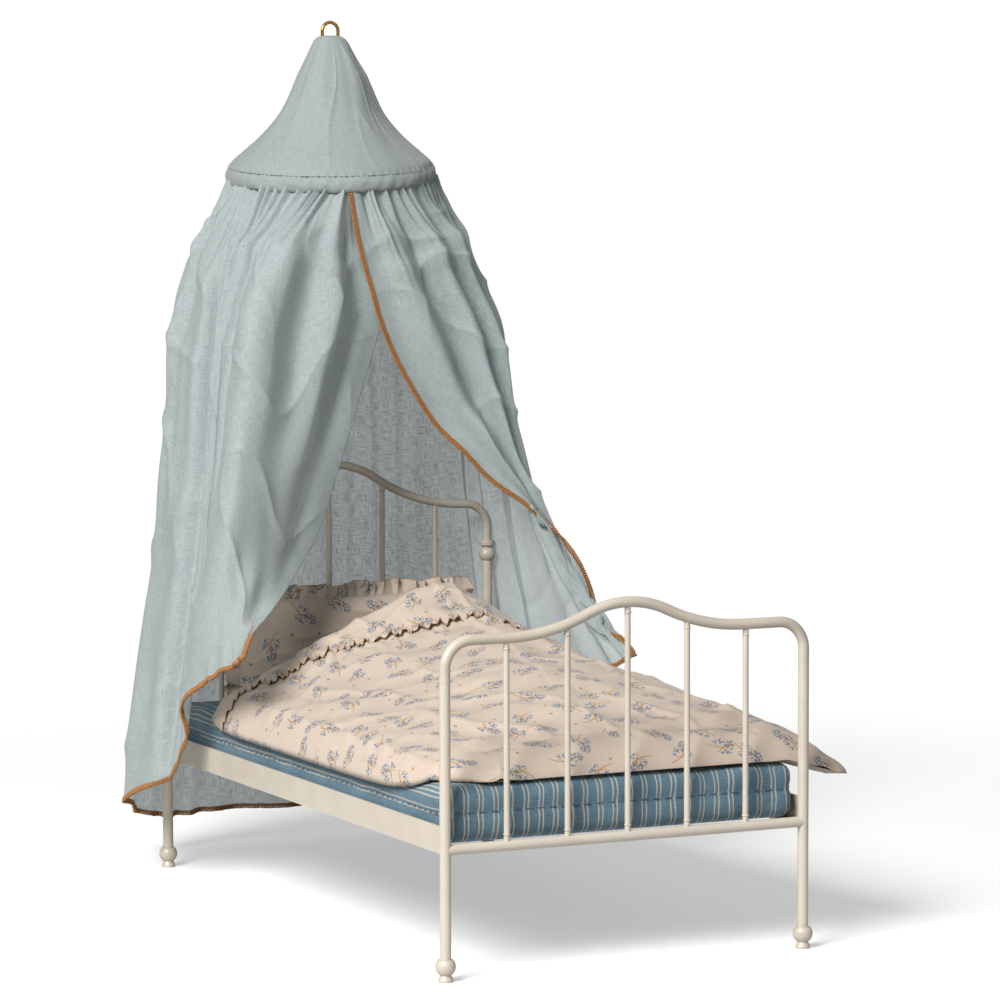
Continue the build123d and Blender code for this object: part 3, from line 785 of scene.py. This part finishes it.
def make_cone():
    """The cone's cover, from its flat top, over the flare, to the seam on the wire hoop."""
    depth = CAP_TOP - band_high[2]
    angle, down = np.meshgrid(np.linspace(180, 540, 361), np.linspace(0, 1, 90))
    spread = BAND_R - 1.6 - CAP_R
    heights = [0, 0.15, 0.3, 0.45, 0.58, 0.77, 0.9, 0.97, 1]
    shares = [0, 0.115, 0.235, 0.33, 0.43, 0.66, 0.87, 0.975, 1]
    radius = CAP_R + spread * through(heights, shares, down)
    pulls = 0.6 * wander(angle * 0.75, 14 * down, 21, 71)
    pulls = pulls + 0.8 * creases(angle * 1.1, 26 * down, 42, 72)
    seam = np.exp(-(((angle - 396) / 1.6) ** 2)) + np.exp(-(((angle - 222) / 1.6) ** 2))
    dent = -1.5 * np.exp(-(((angle - 384) / 9) ** 2)) - 1.3 * np.exp(-(((angle - 318) / 12) ** 2))
    stitch_pull = 0.55 * np.abs(np.sin(np.radians(angle) * 34))
    stitch_pull = stitch_pull * np.exp(-(((down - 1) / 0.035) ** 2))
    sag = 0.9 * wander(angle * 0.5, 30 * down, 30, 73) + dent * step(0.3, 0.8, down)
    radius = radius + (pulls + sag) * np.sin(math.pi * down) ** 0.6 + 0.45 * seam - stitch_pull
    radius = radius - 1.5 * np.exp(-down / 0.012)
    z = CAP_TOP - depth * down - 0.6 * wander(angle * 0.5, 30 * down, 40, 74) * down * (1 - down)
    z = z + hoop_rise(angle, radius) * down**1.6
    wall = ring_point(angle, radius, z)
    share = np.linspace(0, 1, 9)[:-1, None]
    lid_z = CAP_TOP + 0.7 * np.sqrt(1 - share**2) + 0 * angle[:1]
    lid = ring_point(angle[:1], share * radius[:1], lid_z)
    slant = 95.0
    cloth_wall = np.stack([(angle - 360) * (0.25 + 0.75 * down), slant * down], -1)
    lid_down = -CAP_R * (1 - share) + 0 * angle[:1]
    cloth_lid = np.stack([(angle[:1] - 360) * 0.25 * share, lid_down], -1)
    cloth = np.concatenate([cloth_lid, cloth_wall])
    cover = grid_object("cone_cover", np.concatenate([lid, wall]), cloth)
    dress(cover, CONE_LINEN_PAINTED_SHADE, "canopy")
    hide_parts("canopy_cone", "canopy_cap")

    runs = []
    for start in np.arange(180, 540, 3.1):
        ends = np.array([start, start + 1.7])
        runs.append(ring_point(ends, BAND_R - 1.2, band_high[2] + 0.4 + hoop_rise(ends, BAND_R)))
    stitches = thread_object("cone_stitches", runs, 0.22)
    dress(stitches, CONE_LINEN_PAINTED_SHADE, "canopy")


def make_rim():
    """The wire hoop's piping: a soft tube of cloth under the cone."""
    angle, turn = np.meshgrid(np.linspace(180, 540, 400), np.radians(np.linspace(90, 450, 33)))
    half_tall = (band_high[2] - band_low[2]) / 2
    half_thick = 2.6
    ripple = 0.28 * wander(angle, turn * 6, 9, 81) + 0.22 * creases(angle * 1.5, turn * 9, 16, 82)
    radius = BAND_R - half_thick + (half_thick + ripple) * np.cos(turn)
    z = (band_high[2] + band_low[2]) / 2 + (half_tall + ripple) * np.sin(turn)
    z = z + hoop_rise(angle, radius)
    cloth = np.stack([(angle - 360) * 1.1, np.degrees(turn) * 0.06], -1)
    rim = grid_object("canopy_rim", ring_point(angle, radius, z), cloth, join=True)
    dress(rim, CONE_LINEN_PAINTED_SHADE, "canopy")
    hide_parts("canopy_rim_band")


# the curtain's front edges, from the rim down and out to the front corners of its hem
RIGHT_EDGE = [
    (-12.5, 93, 380), (-9, 89.5, 352), (-3.5, 87, 329), (2, 86, 310), (11, 86, 289),
    (21.5, 86, 271), (38, 86, 248), (50, 82, 236), (66, 78.5, 219), (85.5, 73.5, 204.5),
    (101, 61, 186.5), (109, 53, 171.5), (117, 52, 151), (118, 50, 140), (115, 36, 136),
    (115, 12, 133), (115, -2.5, 127),
]
LEFT_EDGE = [
    (-7, 96.5, 380), (-4, 92.5, 352), (1, 89.5, 329), (3.5, 88.5, 310), (-2, 88, 290),
    (-8.5, 87.5, 272), (-13.5, 86, 258), (-18, 85, 246), (-26, 85, 222), (-39, 82, 191),
    (-60, 66, 170), (-84, 38, 157), (-105, 16, 146), (-119, -6, 137),
]
# rim angle, and where the thread from there meets the hem
THREADS = [
    (22, (119, 22, 119)), (45, (122, 55, 106)), (62, (125, 86, 84)), (80, (127, 118, 60)),
    (95, (127, 146, 46)), (110, (124, 172, 36)), (125, (112, 195, 28)), (140, (92, 209, 24)),
    (160, (48, 214, 21)), (180, (0, 214, 20.5)), (200, (-48, 212, 21)), (220, (-86, 204, 22)),
    (236, (-106, 188, 29)), (250, (-119, 166, 37)), (260, (-130, 142, 42)), (270, (-133, 124, 50)),
    (281, (-129, 98, 57)), (294, (-121, 86, 67)), (306, (-118, 77, 84)), (318, (-122.5, 74, 102)),
    (334, (-121.5, 44, 119)),
]
# how far out a thread has come, of its way from the rim to the hem, at parts of its drop
DROP_KNOTS = [0, 0.06, 0.11, 0.165, 0.22, 0.27, 0.38, 0.52, 0.62, 0.70, 0.80, 0.90, 1.0]
LEFT_SPREAD = [0, 0.16, 0.29, 0.385, 0.46, 0.51, 0.57, 0.65, 0.72, 0.785, 0.87, 0.94, 1.0]
RIGHT_SPREAD = [0, 0.10, 0.20, 0.27, 0.34, 0.41, 0.50, 0.59, 0.66, 0.73, 0.82, 0.91, 1.0]
# rim angle, and how far the larger folds stand out or in there
LARGE_FOLDS = [
    (-8, 0), (-1, 1.5), (5, 4.5), (11, -4.0), (17, 4.5), (26, -4.5), (36, 4.0), (48, -3.5),
    (62, 4.5), (77, -4.0), (92, 4.0), (107, -4.0), (124, 4.0), (142, -4.5), (160, 4.5),
    (178, -4.5), (197, 4.5), (214, -4.5), (231, 4.0), (246, -3.0), (262, 2.5), (272, -2.5),
    (281, 2.5), (288, -4.5), (295, 2.0), (308, 3.0), (322, 0.5), (335.5, 3.0), (340.4, -4.0),
    (343.4, 5.0), (345.6, -4.5), (348.3, -0.5), (350, 0),
]
RIGHT_ANGLE, LEFT_ANGLE = -7.4, 350.0  # where the front edges leave the rim
CURTAIN_TOP, CURTAIN_R = band_low[2] + 1.5, BAND_R - 2.6
COLUMNS, ROWS = 900, 230  # of the curtain's mesh
FLAT_WIDTH, FLAT_DROP = 820.0, 340.0
TURN_WIDTH, TURN_COLUMNS = 26, 16  # of the strip that is turned in along the left front edge


def curtain_base(drop):
    """The curtain's smooth shape: threads from the rim to the hem, read at even places.

    drop is how far down its rows lie, 0 to 1. The rim angle of each column is given too.
    """
    left_spread = through(DROP_KNOTS, LEFT_SPREAD, drop)
    right_spread = through(DROP_KNOTS, RIGHT_SPREAD, drop)
    threads, angles = [], []
    for edge, angle in ((RIGHT_EDGE, RIGHT_ANGLE), (LEFT_EDGE, LEFT_ANGLE)):
        edge = np.array(edge, float)
        run = lengths_along(edge)
        threads.append(through(run / run[-1], edge, drop))
        angles.append(angle)
    for angle, hem in THREADS:
        tucked = CURTAIN_TOP + 1.2 * hoop_rise(angle, CURTAIN_R)
        top = ring_point(angle, CURTAIN_R, tucked)
        to_right = 1 - step(80, 150, angle)
        spread = to_right * right_spread + (1 - to_right) * left_spread
        forward = spread ** (1 + 0.8 * to_right + 1.8 * (1 - step(15, 75, angle)))
        place = top + (np.array(hem, float) - top) * np.stack([spread, forward, drop], -1)
        threads.append(place)
        angles.append(angle)
    order = np.argsort(angles)
    angles, threads = np.array(angles)[order], np.array(threads)[order]
    even = np.linspace(angles[0], angles[-1], COLUMNS)
    run = lengths_along(through(angles, threads[:, int(0.35 * ROWS)], even))
    at = np.interp(np.linspace(0, run[-1], COLUMNS), run, even)
    return at, through(angles, threads, at).transpose(1, 0, 2)


def fold_pattern(angle, width, drop):
    """How far the cloth stands out of its smooth shape: tight gathers that open into folds."""
    depth = np.clip(1.0 + 0.8 * wander(width, 0 * width, 46, 96), 0.2, 2.2)
    on_rim = 2.2 * angle
    gathers = np.sin(2 * math.pi * (on_rim + 9 * wander(on_rim, drop * 30, 52, 93)) / 14.5)
    fine = np.sin(2 * math.pi * (on_rim + 3 * wander(on_rim, 0 * width, 30, 90)) / 7.0)
    gathers = 1.5 * (gathers + 0.4 * fine) * depth
    gathers = gathers * np.exp(-((drop / (0.05 + 0.03 * depth)) ** 1.3))
    drift = 1.2 * wander(angle * 0.4, drop * 70, 60, 91) * step(0.1, 0.8, drop)
    knots, heights = np.array(LARGE_FOLDS, float).T
    large = through(knots, heights, np.clip(angle + drift, knots[0], knots[-1]))
    front = step(300, 330, angle)
    calm = 1 - (0.35 + 0.62 * front) * step(0.3, 0.62, drop)
    large = 1.25 * large * step(0.02, 0.22, drop) * calm
    back = step(60, 95, angle) * (1 - step(225, 255, angle))
    pleats = 0.5 + 0.5 * np.sin(2 * math.pi * (angle + 9 * wander(angle, drop * 40, 40, 99)) / 12.5)
    large = large + 7.0 * back * pleats * step(0.03, 0.2, drop)
    small = np.sin(2 * math.pi * (on_rim + 9 * wander(on_rim * 0.7, drop * 90, 90, 92)) / 35)
    small = 1.8 * small * step(0.0, 0.10, drop) * (1 - 0.6 * step(0.25, 0.8, drop))
    crumple = 1.7 * creases(width * 0.7, drop * 300, 74, 94)
    crumple = crumple + 0.8 * wander(width, drop * 260, 34, 95)
    ridge = np.exp(-(((drop - 0.13 - 0.03 * wander(width, 0 * width, 80, 98)) / 0.022) ** 2))
    cross = 2.4 * creases(width * 0.35, drop * 340, 60, 97) + 1.6 * ridge
    cross = cross * np.exp(-(((drop - 0.14) / 0.09) ** 2))
    pressed = (crumple + cross) * step(0.0, 0.08, drop) * (1 - 0.75 * back)
    return gathers + large + small + pressed


def make_curtain():
    """One cloth from front edge to front edge, and the strip turned in along the left one."""
    rows_down = np.linspace(0, 1, ROWS) ** 1.15
    at, base = curtain_base(rows_down)
    width, drop = np.meshgrid(np.linspace(0, FLAT_WIDTH, COLUMNS), rows_down)
    outward = sheet_normals(base)
    if outward[60, COLUMNS // 2, 1] < 0:
        outward = -outward
    edge_near = np.minimum(width, FLAT_WIDTH - width)
    free = 0.08 + 0.92 * step(0, 26, edge_near)
    bottom = 1 - 0.35 * step(0.9, 1.0, drop)
    folds = fold_pattern(np.broadcast_to(at, width.shape), width, drop)
    shape = base + outward * (folds * free * bottom)[..., None]

    turn_in = np.linspace(0, 1, TURN_COLUMNS)[:, None]
    depth = TURN_WIDTH * (1 - step(0.72, 0.93, rows_down)) * step(0, 0.12, rows_down) + 1.2
    curl = np.array([-0.12, 0.96, 0.0])
    inner = shape[:, -1][None] + turn_in[..., None] * depth[None, :, None] * curl
    belly = 3.0 * np.sin(math.pi * turn_in) * step(0.1, 0.4, rows_down)[None]
    inner = inner + belly[..., None] * (-1, 0, 0)
    inner = inner.transpose(1, 0, 2)[:, 1:]
    points = np.concatenate([shape, inner], axis=1)
    strip_x = np.broadcast_to(FLAT_WIDTH + TURN_WIDTH * turn_in[1:, 0], inner.shape[:2])
    cloth_x = np.concatenate([width, strip_x], axis=1)
    cloth = np.stack([cloth_x, np.broadcast_to(drop[:, :1] * FLAT_DROP, cloth_x.shape)], -1)
    curtain = grid_object("curtain", points, cloth)
    dress(curtain, LINEN, "canopy")
    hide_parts("curtain_left", "curtain_back", "curtain_right")
    return curtain, points


def braid(name, line, outward):
    """Crochet edging along a line: three yarns that cross over and under each other."""
    length = lengths_along(line)
    pitch, half_width, yarn = 4.4, 1.12, 0.43
    even = np.arange(0, length[-1], pitch / 14)
    places = read_at(even, length, line)
    lift = unit(read_at(even, length, outward))
    across = np.cross(unit(np.gradient(places, axis=0)), lift)
    runs = []
    for strand in range(3):
        phase = 2 * math.pi * (even / pitch + strand / 3)
        sway = half_width * np.sin(phase) + 0.12 * wander(even, 0 * even, 6, 101)
        hop = 0.45 * np.sin(2 * phase)
        runs.append(places + across * sway[:, None] + lift * hop[:, None])
    piece = thread_object(name, runs, yarn)
    dress(piece, TRIM, "canopy")
    return piece


def make_trims(curtain, points):
    """The edging of both front edges and the hem, which belongs to the curtain's sheet."""
    normal = sheet_normals(points)
    trims = [
        braid("curtain_trim_right", points[:, 0], normal[:, 0]),
        braid("curtain_trim_left", points[:, -1], normal[:, -1]),
        braid("curtain_trim_hem", points[-1], normal[-1]),
    ]


make_cone()
make_rim()
make_trims(*make_curtain())


# ---- metal pieces ----


def make_welds():
    """Small weld beads where the spindles meet the rails and hoops."""
    rings = []
    for end in ("foot", "head"):
        for number in range(1, 6):
            low, high = corners(f"{end}_spindle_{number}")
            x, y = (low + high)[:2] / 2
            around = np.linspace(0, 2 * math.pi, 17)
            radius = 1.45 + 0.1 * np.sin(3 * around + number)
            for z in (low[2] + 3.2, high[2] - 3.0):
                rim = [x + radius * np.cos(around), y + radius * np.sin(around), z + 0 * around]
                rings.append(np.stack(rim, -1))
    beads = thread_object("weld_beads", rings, 0.45, 2)
    dress(beads, PAINT, "bed")


def finish_metal():
    """Give each CAD solid its finish."""
    for name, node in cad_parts.items():
        finish = {"hanging_loop": BRASS, "canopy_hoop": STEEL}.get(name, PAINT)
        if not node.material_slots:
            node.data.materials.append(finish)
        for holder in node.material_slots:
            holder.material = finish


finish_metal()
make_welds()


# ---- floor, lights and camera ----


def make_stage():
    """A plain pale floor."""
    steps = np.linspace(-1.2, 1.2, 9) / MM
    x, y = np.meshgrid(steps, steps)
    points = np.stack([x, y, 0 * x], -1)
    floor = grid_object("studio_floor", points, points[..., :2])
    floor.data.materials.append(floor_material())


def make_surround(ambient):
    """Soft light from all round, in front of a white backdrop."""
    world = bpy.data.worlds.new("studio")
    world.use_nodes = True
    nodes, links = world.node_tree.nodes, world.node_tree.links
    strength = nodes.new("ShaderNodeMath")
    strength.operation = "MULTIPLY_ADD"
    links.new(nodes.new("ShaderNodeLightPath").outputs["Is Camera Ray"], strength.inputs[0])
    backdrop = 1.02
    strength.inputs[1].default_value = backdrop - ambient
    strength.inputs[2].default_value = ambient
    nodes["Background"].inputs[0].default_value = (1, 1, 1, 1)
    links.new(strength.outputs[0], nodes["Background"].inputs[1])
    bpy.context.scene.world = world


def add_light(name, place, aim, size, power, colour):
    """A round soft light at a place, in metres, that points at another."""
    data = bpy.data.lights.new(name, "AREA")
    data.shape, data.size, data.energy, data.color = "DISK", size, power, colour
    turn = (Vector(place) - Vector(aim)).to_track_quat("Z", "Y").to_matrix().to_4x4()
    link(name, data).matrix_world = Matrix.Translation(place) @ turn


def make_camera():
    """The viewpoint: to the left of the foot of the bed, a little above its middle."""
    yaw, pitch, roll = math.radians(25.56), math.radians(4.89), math.radians(-0.15)
    data = bpy.data.cameras.new("camera")
    data.sensor_width, data.lens, data.clip_end = 36.0, 157.0, 50.0
    camera = link("camera", data)
    turn = Matrix.Rotation(-yaw, 4, "Z") @ Matrix.Rotation(math.pi / 2 - pitch, 4, "X")
    turn = turn @ Matrix.Rotation(roll, 4, "Z")
    camera.matrix_world = Matrix.Translation((-0.9832, -2.1271, 0.4164)) @ turn
    bpy.context.scene.camera = camera


make_stage()
add_light("key", (-1.5, -1.08, 1.5), (0, 0, 0.25), 1.1, 98, (1.0, 0.985, 0.96))
add_light("fill", (0.9, -2.1, 0.9), (0, 0, 0.2), 1.4, 3, (0.97, 0.985, 1.0))
make_surround(0.28)
bpy.context.scene.view_settings.view_transform = "Standard"
make_camera()
